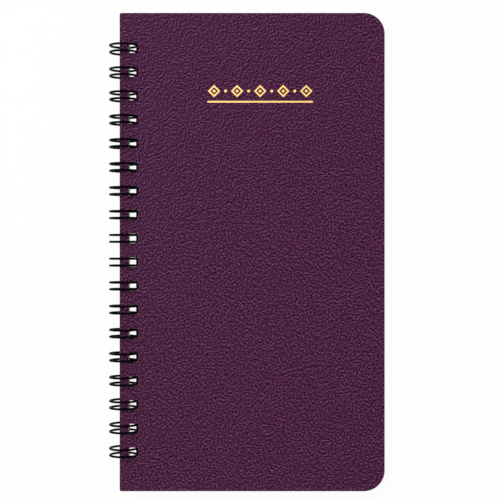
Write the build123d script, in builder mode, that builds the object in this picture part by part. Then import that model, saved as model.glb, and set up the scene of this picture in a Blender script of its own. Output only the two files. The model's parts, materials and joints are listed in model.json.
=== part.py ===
from build123d import *
import os
from math import asin, atan2, cos, degrees, floor, hypot, pi, sin, sqrt

# A pocket address book in a twin-loop wire binding. It lies on its back cover, spine to the left.
# Every sheet is drawn on the book's own plane: x runs from the spine edge to the fore edge, y up the
# spine to the head, and z from the underside of the back cover to the top of the front cover.

# Covers
cover_width = 94.3
cover_height = 170.2
cover_thickness = 0.4
cover_corner = 7.4
spine_corner = 0.6
lining_thickness = 0.1
board_gap = 1.4

# Twin-loop wire
wire_diameter = 0.8
loop_pitch = 25.4 / 3
row_end_margin = 11.0
row_offset = 0.65
finger_spacing = 2.44
bend_radius = 0.8
ring_rise = 0.35
ring_clearance = 0.16
bar_clearance = 0.1
seam_gap = 0.45

# Punched holes
spine_margin = 3.1
hole_length = 3.42
hole_end_clearance = 0.12
hole_side_clearance = 0.1
bend_side_clearance = 0.3

# Leaves
index_letters = ("ab", "cd", "ef", "gh", "ij", "kl", "mn", "op", "qr", "st", "uv", "wxyz")
address_leaves = 2
index_leaf_thickness = 0.09
address_leaf_thickness = 0.065
leaf_gap = 0.01
leaf_inset = 1.5
leaf_corner = 6.0
tab_depth = 6.5
tab_gap = 0.6
tab_corner = 2.0
tab_root = 0.8
hinge_inset = 0.1

# Gilt on the front cover
foil_thickness = 0.04
gilt_center = 50.0
rule_drop = 31.6
rule_length = 37.5
rule_width = 0.6
ornament_drop = 27.8
lozenge_count = 5
lozenge_pitch = 8.2
lozenge_length = 4.4
lozenge_stroke = 0.55
bead_diameter = 1.0

# Heights of the stack, from the underside of the back cover
wire_radius = wire_diameter / 2
seam_room = wire_diameter + 2 * bar_clearance
board_thickness = seam_room - lining_thickness
back_lining_z = cover_thickness + board_thickness
block_z = cover_thickness + seam_room + leaf_gap
section_height = index_leaf_thickness + leaf_gap + address_leaves * (address_leaf_thickness + leaf_gap)
front_lining_z = block_z + len(index_letters) * section_height
front_cover_z = front_lining_z + lining_thickness
stack_height = front_cover_z + cover_thickness
hinge_z = stack_height / 2

# The ring goes round the margin of every sheet, with the book closed or open flat
ring_z = hinge_z + ring_rise
ring_inner = hypot(spine_margin + hinge_inset, ring_z) + ring_clearance
ring_radius = ring_inner + wire_radius
ring_outer = ring_inner + wire_diameter
ring_x = spine_margin + hole_length - hole_end_clearance - ring_outer
loop_count = floor((cover_height - 2 * row_end_margin) / loop_pitch) + 1
hole_width = finger_spacing + wire_diameter + 2 * hole_side_clearance
bend_hole_width = finger_spacing + wire_diameter + 2 * bend_side_clearance
hole_x = spine_margin + hole_length / 2

# The loops hold the spine up, so the book leans until the fore edge of its back cover touches down
ring_reach = hypot(cover_width - ring_x, ring_z)
lean = asin(ring_outer / ring_reach) - atan2(ring_z, cover_width - ring_x)
left_side = ring_x * cos(lean) + ring_z * sin(lean) - ring_outer
right_side = cover_width * cos(lean) + stack_height * sin(lean)
book = Plane(
    origin=(-(left_side + right_side) / 2, 0, cover_width * sin(lean)),
    x_dir=(cos(lean), 0, -sin(lean)),
    z_dir=(sin(lean), 0, cos(lean)),
)

os.makedirs("parts", exist_ok=True)


def save(piece, name):
    piece.part.label = name
    export_step(piece.part, f"parts/{name}.step")


def punch_holes(width):
    with Locations((hole_x, row_offset)):
        with GridLocations(hole_length, loop_pitch, 1, loop_count):
            Rectangle(hole_length, width, mode=Mode.SUBTRACT)


def draw_sheet(sketch, start, end, height, corner):
    with Locations(((start + end) / 2, 0)):
        Rectangle(end - start, height)
    fillet(sketch.vertices().group_by(Axis.X)[-1], corner)


# Covers: a flexible grained sheet each, lined inside, and a board that stiffens the back one.
# The board and its lining stop short of the binding, where the wire closes. Its fingers bend there,
# so the holes of the back cover are the wider ones.
def draw_cover(sketch, width):
    draw_sheet(sketch, 0, cover_width, cover_height, cover_corner)
    fillet(sketch.vertices().group_by(Axis.X)[0], spine_corner)
    punch_holes(width)


board_start = spine_margin + hole_length + board_gap

with BuildPart() as back_cover:
    with BuildSketch(book) as back_cover_outline:
        draw_cover(back_cover_outline, bend_hole_width)
    extrude(amount=cover_thickness)
save(back_cover, "back_cover")

with BuildPart() as back_cover_board:
    with BuildSketch(book.offset(cover_thickness)) as board_outline:
        draw_sheet(board_outline, board_start, cover_width, cover_height, cover_corner)
    extrude(amount=board_thickness)
save(back_cover_board, "back_cover_board")

with BuildPart() as back_cover_lining:
    with BuildSketch(book.offset(back_lining_z)) as back_lining_outline:
        draw_sheet(back_lining_outline, board_start, cover_width, cover_height, cover_corner)
    extrude(amount=lining_thickness)
save(back_cover_lining, "back_cover_lining")

with BuildPart() as front_cover_lining:
    with BuildSketch(book.offset(front_lining_z)) as front_lining_outline:
        draw_cover(front_lining_outline, hole_width)
    extrude(amount=lining_thickness)
save(front_cover_lining, "front_cover_lining")

with BuildPart() as front_cover:
    with BuildSketch(book.offset(front_cover_z)) as front_cover_outline:
        draw_cover(front_cover_outline, hole_width)
    extrude(amount=cover_thickness)
save(front_cover, "front_cover")

# Gilt: a plain rule, and over it a row of open lozenges with a bead in each and between them
gilt_face = book.offset(stack_height)
ornament_y = cover_height / 2 - ornament_drop
half_lozenge = lozenge_length / 2
inner_lozenge = half_lozenge - lozenge_stroke * sqrt(2)
lozenge_sides = 4

with BuildPart() as gilt_rule:
    with BuildSketch(gilt_face):
        with Locations((gilt_center, cover_height / 2 - rule_drop)):
            Rectangle(rule_length, rule_width)
    extrude(amount=foil_thickness)
save(gilt_rule, "gilt_rule")

with BuildPart() as gilt_ornament:
    with BuildSketch(gilt_face):
        with Locations((gilt_center, ornament_y)):
            with GridLocations(lozenge_pitch, lozenge_length, lozenge_count, 1):
                RegularPolygon(half_lozenge, lozenge_sides)
                RegularPolygon(inner_lozenge, lozenge_sides, mode=Mode.SUBTRACT)
                Circle(bead_diameter / 2)
            with GridLocations(lozenge_pitch, lozenge_length, lozenge_count - 1, 1):
                Circle(bead_diameter / 2)
    extrude(amount=foil_thickness)
save(gilt_ornament, "gilt_ornament")

# Leaves: each section is an index leaf with its tab, over the address leaves that follow it.
# The first section lies on top, with its tab nearest the head.
leaf_width = cover_width - leaf_inset - tab_depth
leaf_height = cover_height - 2 * leaf_inset
tab_margin = leaf_corner + tab_root + tab_gap
tab_pitch = (leaf_height - 2 * tab_margin) / len(index_letters)
tab_height = tab_pitch - tab_gap
first_tab_y = leaf_height / 2 - tab_margin - tab_pitch / 2


def draw_leaf(sketch):
    draw_sheet(sketch, 0, leaf_width, leaf_height, leaf_corner)
    punch_holes(hole_width)


def draw_tab(sketch, tab_y):
    with Locations((leaf_width + tab_depth / 2, tab_y)):
        Rectangle(tab_depth, tab_height)
    fillet(sketch.vertices().group_by(Axis.X)[-1], tab_corner)
    root_points = sketch.vertices().group_by(Axis.X)[-3].sort_by(Axis.Y)[1:-1]
    fillet(root_points, tab_root)


for number, letters in enumerate(index_letters):
    section_z = front_lining_z - (number + 1) * section_height
    for leaf in range(address_leaves):
        leaf_z = section_z + leaf * (address_leaf_thickness + leaf_gap)
        with BuildPart() as address_leaf:
            with BuildSketch(book.offset(leaf_z)) as leaf_outline:
                draw_leaf(leaf_outline)
            extrude(amount=address_leaf_thickness)
        save(address_leaf, f"address_leaf_{letters}_{address_leaves - leaf}")
    index_z = section_z + address_leaves * (address_leaf_thickness + leaf_gap)
    with BuildPart() as index_leaf:
        with BuildSketch(book.offset(index_z)) as index_outline:
            draw_leaf(index_outline)
            draw_tab(index_outline, first_tab_y - number * tab_pitch)
        extrude(amount=index_leaf_thickness)
    save(index_leaf, f"index_leaf_{letters}")

# Wire: one unbroken comb. From a bar between the back cover and the last leaf, each finger goes down
# through the back cover, round the spine, over the front cover and down through every leaf, and turns
# back at its tip beside the bars.
bar_z = cover_thickness + seam_room / 2
seam_turn = seam_gap + wire_diameter + 2 * bend_radius
tip_z = bar_z + sqrt(seam_turn**2 - (2 * bend_radius) ** 2) - 2 * bend_radius
bend_reach = hypot(ring_radius, bend_radius)
bend_angle = atan2(bend_radius, ring_radius)
finger_start = -asin((ring_z - bar_z) / bend_reach) - bend_angle
finger_end = -asin((ring_z - tip_z) / bend_reach) + bend_angle - 2 * pi
finger_arcs = 3
first_loop_y = row_offset - (loop_count - 1) / 2 * loop_pitch


def on_ring(angle, y):
    place = Vector(ring_x + ring_radius * cos(angle), y, ring_z + ring_radius * sin(angle))
    return book.from_local_coords(place)


def along_ring(angle):
    return book.x_dir * sin(angle) - book.z_dir * cos(angle)


def bend(corner, before, after):
    middle = corner + (before + after) * bend_radius * (1 - sqrt(0.5))
    ThreePointArc(corner + before * bend_radius, middle, corner + after * bend_radius)


def finger(y, start, end):
    step = (end - start) / finger_arcs
    for arc in range(finger_arcs):
        angle = start + arc * step
        ThreePointArc(on_ring(angle, y), on_ring(angle + step / 2, y), on_ring(angle + step, y))


up_spine = book.y_dir
bar_way = along_ring(finger_start)
tip_way = along_ring(finger_end)
bar_length = loop_pitch - finger_spacing - 2 * bend_radius

with BuildPart() as twin_loop_wire:
    with BuildLine() as wire_path:
        for loop in range(loop_count):
            near_y = first_loop_y + loop * loop_pitch - finger_spacing / 2
            far_y = near_y + finger_spacing
            near_bar = on_ring(finger_start, near_y) - bar_way * bend_radius
            far_bar = on_ring(finger_start, far_y) - bar_way * bend_radius
            near_tip = on_ring(finger_end, near_y) + tip_way * bend_radius
            far_tip = on_ring(finger_end, far_y) + tip_way * bend_radius
            if loop == 0:
                Line(near_bar - up_spine * (bend_radius + wire_diameter), near_bar - up_spine * bend_radius)
            bend(near_bar, -up_spine, bar_way)
            finger(near_y, finger_start, finger_end)
            bend(near_tip, -tip_way, up_spine)
            Line(near_tip + up_spine * bend_radius, far_tip - up_spine * bend_radius)
            bend(far_tip, -up_spine, -tip_way)
            finger(far_y, finger_end, finger_start)
            bend(far_bar, bar_way, up_spine)
            run = wire_diameter if loop == loop_count - 1 else bar_length
            Line(far_bar + up_spine * bend_radius, far_bar + up_spine * (bend_radius + run))
    with BuildSketch(Plane(origin=wire_path.line @ 0, z_dir=wire_path.line % 0)):
        Circle(wire_radius)
    sweep(path=wire_path.line)
save(twin_loop_wire, "twin_loop_wire")

# The least gap from the wire to itself, on points along its first two loops. Each loop has two fingers,
# four bends, the line at its tip and the bar after it.
edges_per_loop = 2 * finger_arcs + 6
measured_loops = 2
points_per_edge = 16
near_diameters = 4
trail = []
walked = 0
for edge in wire_path.edges()[: measured_loops * edges_per_loop]:
    for step in range(points_per_edge):
        trail.append((walked + edge.length * step / points_per_edge, edge @ (step / points_per_edge)))
    walked += edge.length
far_apart = near_diameters * wire_diameter
least = min(
    (second - first).length
    for place, (way, first) in enumerate(trail)
    for along, second in trail[place:]
    if along - way > far_apart
)
wire_length = sum(edge.length for edge in wire_path.edges())
wire_section = pi * wire_radius**2
hinge = book.from_local_coords((-hinge_inset, 0, hinge_z))
print(f"least gap from the wire to itself {least - wire_diameter:.3f} mm")
print(f"wire volume {twin_loop_wire.part.volume:.2f}, section by length {wire_section * wire_length:.2f}")
print(f"loops {loop_count}, ring outer radius {ring_outer:.3f}, ring centre {ring_x:.3f} from the spine edge")
print(f"stack {stack_height:.3f} high, leaning {degrees(lean):.3f} degrees")
print(f"leaves turn about x {hinge.X:.4f}, z {hinge.Z:.4f}")
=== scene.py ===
import bpy
import json
from math import asin, atan2, cos, hypot, radians, sin, sqrt
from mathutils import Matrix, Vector


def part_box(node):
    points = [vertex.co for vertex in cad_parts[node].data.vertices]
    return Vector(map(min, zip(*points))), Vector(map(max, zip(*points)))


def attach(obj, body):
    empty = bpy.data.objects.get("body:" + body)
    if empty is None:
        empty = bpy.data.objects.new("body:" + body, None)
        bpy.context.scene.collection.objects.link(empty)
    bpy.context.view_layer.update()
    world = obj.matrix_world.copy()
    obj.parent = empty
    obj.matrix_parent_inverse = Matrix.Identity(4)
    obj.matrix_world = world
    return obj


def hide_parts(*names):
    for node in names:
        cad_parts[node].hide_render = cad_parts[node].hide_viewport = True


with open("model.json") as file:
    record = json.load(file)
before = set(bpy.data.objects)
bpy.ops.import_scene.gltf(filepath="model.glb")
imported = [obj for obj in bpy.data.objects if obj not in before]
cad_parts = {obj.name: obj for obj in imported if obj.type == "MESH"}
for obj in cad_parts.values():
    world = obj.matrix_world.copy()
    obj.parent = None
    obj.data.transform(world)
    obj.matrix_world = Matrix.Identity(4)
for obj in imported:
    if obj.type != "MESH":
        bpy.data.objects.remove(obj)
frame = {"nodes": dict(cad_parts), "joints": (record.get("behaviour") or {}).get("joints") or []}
bpy.context.view_layer.update()
print("frame loaded:", len(frame["nodes"]), "nodes")

# The book's own plane: x from the spine edge, y up the spine, z up from the underside, in metres.
# The wire shifts along it, and the back cover lies on it.
coverThickness = 0.0004
wireShift = next(joint for joint in frame["joints"] if joint["name"] == "wire_shift")
lean = asin(wireShift["axis"][2])
across = Vector((cos(lean), 0, -sin(lean)))
upward = Vector((sin(lean), 0, cos(lean)))
coverLow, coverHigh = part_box("back_cover")
spineEdge = Vector((coverLow.x, 0, coverHigh.z - coverThickness * cos(lean)))


def onBook(x, y, z):
    return spineEdge + across * x + Vector((0, y, 0)) + upward * z


def clearSelection():
    if bpy.context.object and bpy.context.object.mode != "OBJECT":
        bpy.ops.object.mode_set(mode="OBJECT")
    bpy.ops.object.select_all(action="DESELECT")


# Camera: square above the cover, placed on the book's own plane
cameraSetup = {"place": (0.04638, 0.00074, 0.41506), "angle": 24.477, "nearest": 0.01}

clearSelection()
bpy.ops.object.camera_add(location=onBook(*cameraSetup["place"]), rotation=(0, lean, 0))
camera = bpy.context.object
camera.data.sensor_fit = "HORIZONTAL"
camera.data.angle = radians(cameraSetup["angle"])
camera.data.clip_start = cameraSetup["nearest"]
bpy.context.scene.camera = camera
print("camera placed")

mixSockets = {"share": 0, "first": 6, "second": 7, "result": 2}  # a Mix node's sockets for colours


# A value in a shader tree: sums and products of these add their Math nodes
class Tone:
    def __init__(self, tree, socket=None):
        self.tree = tree
        self.socket = socket

    def node(self, nodeType, settings=None, values=None, output=0):
        made = self.tree.nodes.new(nodeType)
        for name, value in (settings or {}).items():
            setattr(made, name, value)
        for name, value in (values or {}).items():
            if isinstance(value, Tone):
                self.tree.links.new(value.socket, made.inputs[name])
            else:
                made.inputs[name].default_value = value
        return Tone(self.tree, made.outputs[output] if made.outputs else None)

    def math(self, operation, first, second=0.5):
        return self.node("ShaderNodeMath", {"operation": operation}, {0: first, 1: second})

    def __add__(self, other):
        return self.math("ADD", self, other)

    def __radd__(self, other):
        return self.math("ADD", other, self)

    def __sub__(self, other):
        return self.math("SUBTRACT", self, other)

    def __rsub__(self, other):
        return self.math("SUBTRACT", other, self)

    def __mul__(self, other):
        return self.math("MULTIPLY", self, other)

    def __rmul__(self, other):
        return self.math("MULTIPLY", other, self)

    def __gt__(self, other):
        return self.math("GREATER_THAN", self, other)

    def __lt__(self, other):
        return self.math("LESS_THAN", self, other)

    def smooth(self, low, high, start=0.0, end=1.0):
        values = {"Value": self, "From Min": low, "From Max": high, "To Min": start, "To Max": end}
        return self.node("ShaderNodeMapRange", {"interpolation_type": "SMOOTHSTEP"}, values)

    def mix(self, mode, share, first, second):
        values = {mixSockets["share"]: share}
        for name, colour in (("first", first), ("second", second)):
            values[mixSockets[name]] = colour if isinstance(colour, Tone) else (*colour, 1)
        settings = {"data_type": "RGBA", "blend_type": mode}
        return self.node("ShaderNodeMix", settings, values, mixSockets["result"])

    def blend(self, first, second):  # from the first colour to the second as this value goes from 0 to 1
        return self.mix("MIX", self, first, second)


def emptyTree(holder):
    holder.use_nodes = True
    holder.node_tree.nodes.clear()
    return Tone(holder.node_tree)


def startFinish(name):
    finish = bpy.data.materials.new(name)
    start = emptyTree(finish)
    return finish, start, start.node("ShaderNodeTexCoord", output="Object")


def closeFinish(start, values):
    shader = start.node("ShaderNodeBsdfPrincipled", values=values)
    start.node("ShaderNodeOutputMaterial", values={"Surface": shader})


def noise(start, place, often, detail=2.0, rough=0.5, output=0):
    values = {"Vector": place, "Scale": often, "Detail": detail, "Roughness": rough}
    return start.node("ShaderNodeTexNoise", values=values, output=output)


def bump(start, height, strength, depth):
    return start.node("ShaderNodeBump", values={"Height": height, "Strength": strength, "Distance": depth})


def placeAlong(start, place, axis):
    return start.node("ShaderNodeSeparateXYZ", values={"Vector": place}, output=axis)


# Most values of a noise lie in the first span, and nearly all of them in the second
usualSpan = (0.36, 0.64)
wholeSpan = (0.3, 0.7)

# Grain: short strokes, falling and rising across each other. The rising ones lead near the head of the
# spine. How often a thing comes is counted in a metre.
grain = {
    "cell": 750.0,  # strokes fade and start again, this often
    "ridges": 1.21,  # in each cell
    "order": 0.5,  # 0 is pebbles, 1 is straight strokes
    # degrees across the strokes, how often they turn, and how strong they are away from the head and at it
    "falling": {"across": (40, 76), "turns": 170.0, "press": (0.65, 0.22)},
    "rising": {"across": (104, 144), "turns": 190.0, "press": (0.65, 0.90)},
    "headReach": (0.0, 0.065),
    "ripple": {"often": 500.0, "push": 0.0002},
    "fade": {"often": 850.0, "span": (0.38, 0.62), "strength": (0.72, 1.2)},
    "pebbles": {"often": 1900.0, "share": 0.12},  # fine ones between the strokes
    "level": 0.5,  # height that the strokes swing about
    "depth": 0.00022,
}


def strokes(start, place, moved, headward, lay):
    low, high = map(radians, lay["across"])
    values = {
        "Vector": moved,
        "Scale": grain["cell"],
        "Frequency": grain["ridges"],
        "Anisotropy": grain["order"],
        "Orientation": noise(start, place, lay["turns"]).smooth(*usualSpan, low, high),
    }
    press = headward.smooth(*grain["headReach"], *lay["press"])
    return press * (start.node("ShaderNodeTexGabor", {"gabor_type": "2D"}, values) - grain["level"])


def pressedGrain(start, place):
    ripple, fade, pebbles = grain["ripple"], grain["fade"], grain["pebbles"]
    drift = noise(start, place, ripple["often"], output="Color")
    push = (ripple["push"],) * 3
    moved = start.node("ShaderNodeVectorMath", {"operation": "MULTIPLY_ADD"}, {0: drift, 1: push, 2: place})
    headward = placeAlong(start, place, "Y") - placeAlong(start, place, "X")
    falling = strokes(start, place, moved, headward, grain["falling"])
    rising = strokes(start, place, moved, headward, grain["rising"])
    faded = noise(start, place, fade["often"], detail=1.0).smooth(*fade["span"], *fade["strength"])
    broken = (falling + rising) * faded + grain["level"]
    return (1 - pebbles["share"]) * broken + pebbles["share"] * noise(start, place, pebbles["often"])


# Leatherette: a plum skin, with painted shade in the creases of the grain and a painted highlight on its
# ridges
leatherette = {
    # crease is painted shade and ridge is a painted highlight, standing in for light on the grain's relief
    "crease": (0.0208, 0.0005, 0.0137),
    "plum": (0.060, 0.0083, 0.045),
    "ridge": (0.134, 0.045, 0.105),
    "plumFrom": (0.36, 0.5),  # heights over which one colour gives way to the next
    "ridgeFrom": (0.49, 0.66),
    "rosy": (1.13, 0.88, 1.0),  # casts in small patches
    "cool": (0.89, 1.12, 1.0),
    "patches": 1300.0,
    "fine": {"often": 5200.0, "share": 0.12},
    "roughness": (0.66, 0.5),  # in the creases and on the ridges
    "shine": 0.09,
    "bump": 0.55,
}


def makeLeatherette():
    finish, start, place = startFinish("plumLeatherette")
    height = pressedGrain(start, place)
    # Painted shade in the creases, then a painted highlight on the ridges
    skin = height.smooth(*leatherette["plumFrom"]).blend(leatherette["crease"], leatherette["plum"])
    skinWithPaintedLight = height.smooth(*leatherette["ridgeFrom"]).blend(skin, leatherette["ridge"])
    patches = noise(start, place, leatherette["patches"], detail=1.0).smooth(*usualSpan)
    cast = patches.blend(leatherette["rosy"], leatherette["cool"])
    fine = leatherette["fine"]["share"] * noise(start, place, leatherette["fine"]["often"])
    closeFinish(start, {
        "Base Color": start.mix("MULTIPLY", 1.0, skinWithPaintedLight, cast),
        "Roughness": height.smooth(*wholeSpan, *leatherette["roughness"]),
        "Specular IOR Level": leatherette["shine"],
        "Normal": bump(start, height + fine, leatherette["bump"], grain["depth"]),
    })
    return finish


# Gilt: foil pressed into the grain, its colour darker in the grain's creases
gilt = {
    "creaseDark": (0.80, 0.47, 0.13),
    "foil": (0.955, 0.60, 0.208),
    "foilFrom": (0.28, 0.5),
    "roughness": (0.46, 0.3),
    "bump": 0.1,
}


def makeGilt():
    finish, start, place = startFinish("giltFoil")
    height = pressedGrain(start, place)
    closeFinish(start, {
        # The foil's colour is darker in the creases of the grain
        "Base Color": height.smooth(*gilt["foilFrom"]).blend(gilt["creaseDark"], gilt["foil"]),
        "Metallic": 1.0,
        "Roughness": height.smooth(*wholeSpan, *gilt["roughness"]),
        "Normal": bump(start, height, gilt["bump"], grain["depth"]),
    })
    return finish


# Wire coat: black nylon over steel, faintly dusty and dimpled
wireCoat = {
    "black": (0.001, 0.001, 0.0012),
    "dust": (0.003, 0.0029, 0.0033),
    "dustFrom": (0.45, 0.8),
    "mottle": 900.0,
    "roughness": (0.28, 0.42),
    "shine": 0.015,
    "dimples": {"often": 2600.0, "strength": 0.12, "depth": 0.00005},
}


def makeWireCoat():
    finish, start, place = startFinish("blackWireCoat")
    mottle = noise(start, place, wireCoat["mottle"], detail=3.0)
    dimples = wireCoat["dimples"]
    dimpled = noise(start, place, dimples["often"])
    closeFinish(start, {
        "Base Color": mottle.smooth(*wireCoat["dustFrom"]).blend(wireCoat["black"], wireCoat["dust"]),
        "Roughness": mottle.smooth(*wholeSpan, *wireCoat["roughness"]),
        "Specular IOR Level": wireCoat["shine"],
        "Normal": bump(start, dimpled, dimples["strength"], dimples["depth"]),
    })
    return finish


# Paper and board: fibres and faint clouds all over, and printed rules on the leaves
paper = {
    "fibre": {"often": 2400.0, "detail": 4.0, "rough": 0.65},
    "fibreShare": 0.65,
    "cloud": 45.0,
    "paleFrom": (0.3, 0.72),
    "shine": 0.25,
    "bump": 0.15,
    "depth": 0.00004,
}
papers = {
    "lining_paper": {
        "name": "plumLining",
        "pale": (0.115, 0.060, 0.098),
        "deep": (0.085, 0.040, 0.072),
        "roughness": 0.7,
        "ruled": False,
    },
    "stiffener_board": {
        "name": "greyBoard",
        "pale": (0.36, 0.33, 0.29),
        "deep": (0.24, 0.22, 0.20),
        "roughness": 0.9,
        "ruled": False,
    },
    "index_paper": {
        "name": "indexPaper",
        "pale": (0.84, 0.80, 0.71),
        "deep": (0.76, 0.71, 0.61),
        "roughness": 0.78,
        "ruled": True,
    },
    "address_paper": {
        "name": "addressPaper",
        "pale": (0.87, 0.85, 0.79),
        "deep": (0.80, 0.77, 0.70),
        "roughness": 0.78,
        "ruled": True,
    },
}
ruling = {
    "pitch": 0.0072,
    "width": 0.00022,
    "left": -0.0335,
    "right": 0.0365,
    "foot": -0.0745,
    "head": 0.0640,
    "headRule": 0.0007,
    "ink": (0.34, 0.24, 0.34),
    "inkShare": 0.75,
}


def printedRules(start, place):  # 1 on the rules, 0 beside them
    x = placeAlong(start, place, "X")
    y = placeAlong(start, place, "Y")
    drop = start.math("PINGPONG", y - ruling["foot"], ruling["pitch"] / 2)
    rules = drop < ruling["width"] / 2
    block = (y > ruling["foot"] - ruling["width"]) * (y < ruling["head"])
    overHead = start.math("ABSOLUTE", y - ruling["head"] - ruling["headRule"])
    headRule = overHead < ruling["headRule"] / 2
    return (rules * block + headRule) * (x > ruling["left"]) * (x < ruling["right"])


def makePaper(kind):
    finish, start, place = startFinish(kind["name"])
    fibre = noise(start, place, **paper["fibre"])
    cloud = noise(start, place, paper["cloud"])
    pulp = paper["fibreShare"] * fibre + (1 - paper["fibreShare"]) * cloud
    sheet = pulp.smooth(*paper["paleFrom"]).blend(kind["deep"], kind["pale"])
    if kind["ruled"]:
        sheet = (ruling["inkShare"] * printedRules(start, place)).blend(sheet, ruling["ink"])
    closeFinish(start, {
        "Base Color": sheet,
        "Roughness": kind["roughness"],
        "Specular IOR Level": paper["shine"],
        "Normal": bump(start, fibre, paper["bump"], paper["depth"]),
    })
    return finish


finishes = {
    "cover_leatherette": makeLeatherette(),
    "gilt_foil": makeGilt(),
    "binding_wire": makeWireCoat(),
}
for slot, kind in papers.items():
    finishes[slot] = makePaper(kind)
for node in frame["nodes"].values():
    for holder in node.material_slots:
        holder.material = finishes[holder.material.name]
print("finishes on:", len(finishes))

# Twin-loop wire: one tube, turned round the spine and back for each loop. Its places are on the book's
# own plane, and its rings stand on the table.
wireComb = {
    "radius": 0.0004,
    "sides": 16,
    "loops": 18,
    "pitch": 0.0254 / 3,
    "rowMiddle": 0.00065,  # up the spine from the middle of the book
    "spacing": 0.00244,  # of the two fingers of a loop
    "bend": 0.0008,
    "bendSteps": 7,
    "ringSteps": 56,
    "ringHeight": 0.002805,
    "ringEnd": 0.0064,  # far side of the rings, in the holes
    "barHeight": 0.0009,
    "seamGap": 0.00045,  # from the bars to the tips, where the rings close
    "rowWeld": 0.00001,
    "weld": 0.000005,
    "smoothAngle": 50,
}
ringOuter = onBook(wireComb["ringEnd"], 0, wireComb["ringHeight"]).z / (1 - sin(lean))  # down to the table
ringRadius = ringOuter - wireComb["radius"]
ringX = wireComb["ringEnd"] - ringOuter


def ringPoint(angle, y):
    return onBook(ringX + ringRadius * cos(angle), y, wireComb["ringHeight"] + ringRadius * sin(angle))


def ringWay(angle):
    return across * sin(angle) - upward * cos(angle)


def fingerAngles():  # where a finger leaves its bar, and where it reaches its tip
    bend = wireComb["bend"]
    seamTurn = wireComb["seamGap"] + 2 * wireComb["radius"] + 2 * bend
    tipHeight = wireComb["barHeight"] + sqrt(seamTurn**2 - (2 * bend) ** 2) - 2 * bend
    reach = hypot(ringRadius, bend)
    bendAngle = atan2(bend, ringRadius)
    first = -asin((wireComb["ringHeight"] - wireComb["barHeight"]) / reach) - bendAngle
    last = -asin((wireComb["ringHeight"] - tipHeight) / reach) + bendAngle - radians(360)
    return first, last


def runTube(way, length):
    bpy.ops.mesh.extrude_region_move(TRANSFORM_OT_translate={"value": way * length})


def turnTube(center, axis, angle, steps):
    bpy.ops.mesh.spin(steps=steps, angle=-angle, center=center, axis=axis)  # spin turns the other way


def drawLoop(middle):
    bend, spacing = wireComb["bend"], wireComb["spacing"]
    bendSteps, ringSteps = wireComb["bendSteps"], wireComb["ringSteps"]
    up = Vector((0, 1, 0))
    first, last = fingerAngles()
    barWay, tipWay = ringWay(first), ringWay(last)
    barAxis, tipAxis = up.cross(barWay), tipWay.cross(up)
    near, far = middle - spacing / 2, middle + spacing / 2
    barNear = ringPoint(first, near) - barWay * bend
    barFar = ringPoint(first, far) - barWay * bend
    tipNear = ringPoint(last, near) + tipWay * bend
    tipFar = ringPoint(last, far) + tipWay * bend
    barRun = (wireComb["pitch"] - spacing) / 2 - bend
    ring = onBook(ringX, 0, wireComb["ringHeight"])
    quarter = radians(90)
    clearSelection()
    bpy.ops.mesh.primitive_circle_add(
        vertices=wireComb["sides"],
        radius=wireComb["radius"],
        location=barNear - up * (bend + barRun),
        rotation=(quarter, 0, 0),
    )
    loop = bpy.context.object
    bpy.ops.object.transform_apply(location=True, rotation=True, scale=True)
    bpy.ops.object.mode_set(mode="EDIT")
    bpy.ops.mesh.select_all(action="SELECT")
    runTube(up, barRun)
    turnTube(barNear + (barWay - up) * bend, barAxis, quarter, bendSteps)
    turnTube(ring, up, first - last, ringSteps)
    turnTube(tipNear + (up - tipWay) * bend, tipAxis, quarter, bendSteps)
    runTube(up, spacing - 2 * bend)
    turnTube(tipFar - (up + tipWay) * bend, tipAxis, quarter, bendSteps)
    turnTube(ring, -up, first - last, ringSteps)
    turnTube(barFar + (up + barWay) * bend, barAxis, quarter, bendSteps)
    runTube(up, barRun)
    bpy.ops.object.mode_set(mode="OBJECT")
    return loop


def makeWire():
    rowReach = (wireComb["loops"] - 1) / 2 * wireComb["pitch"]
    wire = drawLoop(wireComb["rowMiddle"] - rowReach)
    wire.name = "twinLoopWire"
    row = wire.modifiers.new("row", "ARRAY")
    row.count = wireComb["loops"]
    row.use_relative_offset = False
    row.use_constant_offset = True
    row.constant_offset_displace = (0, wireComb["pitch"], 0)
    row.use_merge_vertices = True
    row.merge_threshold = wireComb["rowWeld"]
    bpy.ops.object.modifier_apply(modifier=row.name)
    wireReach = rowReach + wireComb["spacing"] / 2 + wireComb["bend"] + 2 * wireComb["radius"]
    bpy.ops.object.mode_set(mode="EDIT")
    for facing in (-1, 1):  # the two ends are cut short
        cut = (0, wireComb["rowMiddle"] + facing * wireReach, 0)
        bpy.ops.mesh.select_all(action="SELECT")
        bpy.ops.mesh.bisect(plane_co=cut, plane_no=(0, facing, 0), use_fill=True, clear_outer=True)
    bpy.ops.mesh.select_all(action="SELECT")
    bpy.ops.mesh.remove_doubles(threshold=wireComb["weld"])
    bpy.ops.mesh.normals_make_consistent(inside=False)
    bpy.ops.object.mode_set(mode="OBJECT")
    bpy.ops.object.shade_smooth_by_angle(angle=radians(wireComb["smoothAngle"]))
    wire.data.materials.append(finishes["binding_wire"])
    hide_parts("twin_loop_wire")
    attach(wire, "wire")
    return wire


wire = makeWire()
print("wire:", len(wire.data.polygons), "faces")

# Index letters: printed on both sides of each tab
tabPrint = {
    "letters": ("AB", "CD", "EF", "GH", "IJ", "KL", "MN", "OP", "QR", "ST", "UV", "WX\nYZ"),
    "across": 0.0898,
    "firstTab": 0.06985,
    "pitch": 0.0127,
    "leaf": 0.00009,
    "size": 0.0030,
    "lineSpace": 0.9,
    "curveSteps": 6,
    "film": 0.000003,  # half the thickness of the ink
    "lift": 0.000001,
    "weld": 0.0000005,
    "ink": (0.052, 0.014, 0.042),
    "thinInk": (0.090, 0.035, 0.075),
    "thinFrom": (0.4, 0.75),
    "mottle": 3200.0,
    "roughness": 0.6,
    "shine": 0.25,
}


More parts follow.
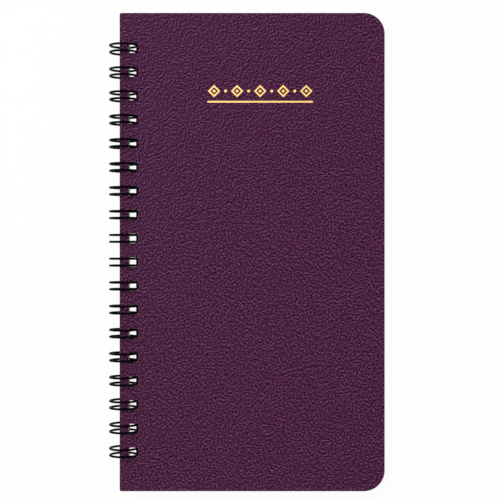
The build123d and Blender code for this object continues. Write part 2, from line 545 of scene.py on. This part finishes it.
def makeInk():
    finish, start, place = startFinish("plumInk")
    mottle = noise(start, place, tabPrint["mottle"], detail=3.0)
    closeFinish(start, {
        "Base Color": mottle.smooth(*tabPrint["thinFrom"]).blend(tabPrint["ink"], tabPrint["thinInk"]),
        "Roughness": tabPrint["roughness"],
        "Specular IOR Level": tabPrint["shine"],
    })
    return finish


def makeLetters(words, place, turn):
    clearSelection()
    bpy.ops.object.text_add()
    text = bpy.context.object
    text.data.body = words
    text.data.align_x = "CENTER"
    text.data.align_y = "CENTER"
    text.data.size = tabPrint["size"]
    text.data.space_line = tabPrint["lineSpace"]
    text.data.extrude = tabPrint["film"]
    text.data.resolution_u = tabPrint["curveSteps"]
    bpy.ops.object.convert(target="MESH")
    letters = bpy.context.object
    letters.location = place
    letters.rotation_euler = (0, lean + turn, 0)
    bpy.ops.object.transform_apply(location=True, rotation=True, scale=True)
    return letters


def makeTabPrint(number, words, ink):
    short = words.replace("\n", "")
    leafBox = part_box("index_leaf_" + short.lower())
    upper = (leafBox[1].z - spineEdge.z) / cos(lean)  # a leaf is highest at the spine
    lower = upper - tabPrint["leaf"]
    lift = tabPrint["film"] + tabPrint["lift"]
    x = tabPrint["across"]
    y = tabPrint["firstTab"] - number * tabPrint["pitch"]
    face = makeLetters(words, onBook(x, y, upper + lift), 0)
    back = makeLetters(words, onBook(x, y, lower - lift), radians(180))
    clearSelection()
    face.select_set(True)
    back.select_set(True)
    bpy.context.view_layer.objects.active = face
    bpy.ops.object.join()
    face.name = "tabLetters" + short
    bpy.ops.object.mode_set(mode="EDIT")
    bpy.ops.mesh.select_all(action="SELECT")
    bpy.ops.mesh.remove_doubles(threshold=tabPrint["weld"])
    bpy.ops.object.mode_set(mode="OBJECT")
    face.data.materials.clear()
    face.data.materials.append(ink)
    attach(face, "section_" + short.lower())


ink = makeInk()
for number, words in enumerate(tabPrint["letters"]):
    makeTabPrint(number, words, ink)
print("tabs lettered:", len(tabPrint["letters"]))

# Studio: a white floor that keeps a soft shadow, a pale dome and a key from the upper left
studio = {
    "floorSize": 6.0,
    "floorPale": (0.95, 0.95, 0.95, 1),
    "floorGlow": 0.93,  # share of plain white where the floor is seen
    "dome": 0.55,
    "white": (1, 1, 1, 1),
    "key": {"place": (-0.5, 0.32, 0.85), "size": 0.6, "power": 5.8},
}


def seenRays(start):  # 1 where the camera, gloss or glass looks
    names = ("Is Camera Ray", "Is Glossy Ray", "Is Transmission Ray")
    straight, glossy, through = (start.node("ShaderNodeLightPath", output=name) for name in names)
    return start.math("MAXIMUM", start.math("MAXIMUM", straight, glossy), through)


def makeFloor():
    clearSelection()
    bpy.ops.mesh.primitive_plane_add(size=studio["floorSize"], location=(0, 0, 0))
    floor = bpy.context.object
    floor.name = "studioFloor"
    finish = bpy.data.materials.new("studioWhite")
    start = emptyTree(finish)
    pale = start.node("ShaderNodeBsdfDiffuse", values={"Color": studio["floorPale"]})
    glow = start.node("ShaderNodeEmission", values={"Color": studio["white"], "Strength": 1.0})
    share = seenRays(start) * studio["floorGlow"]
    surface = start.node("ShaderNodeMixShader", values={0: share, 1: pale, 2: glow})
    start.node("ShaderNodeOutputMaterial", values={"Surface": surface})
    floor.data.materials.append(finish)


def makeDome():
    dome = bpy.data.worlds.new("studioDome")
    bpy.context.scene.world = dome
    start = emptyTree(dome)
    strength = studio["dome"] + (1 - studio["dome"]) * seenRays(start)
    light = start.node("ShaderNodeBackground", values={"Color": studio["white"], "Strength": strength})
    start.node("ShaderNodeOutputWorld", values={"Surface": light})


def makeLamp(name):
    setup = studio[name]
    bpy.ops.object.light_add(type="AREA", location=setup["place"])
    lamp = bpy.context.object
    lamp.name = name
    lamp.data.energy = setup["power"]
    lamp.data.size = setup["size"]
    lamp.rotation_euler = Vector(setup["place"]).to_track_quat("Z", "Y").to_euler()


makeFloor()
makeDome()
makeLamp("key")
bpy.context.scene.view_settings.view_transform = "Standard"
print("studio lit")

bpy.context.view_layer.update()
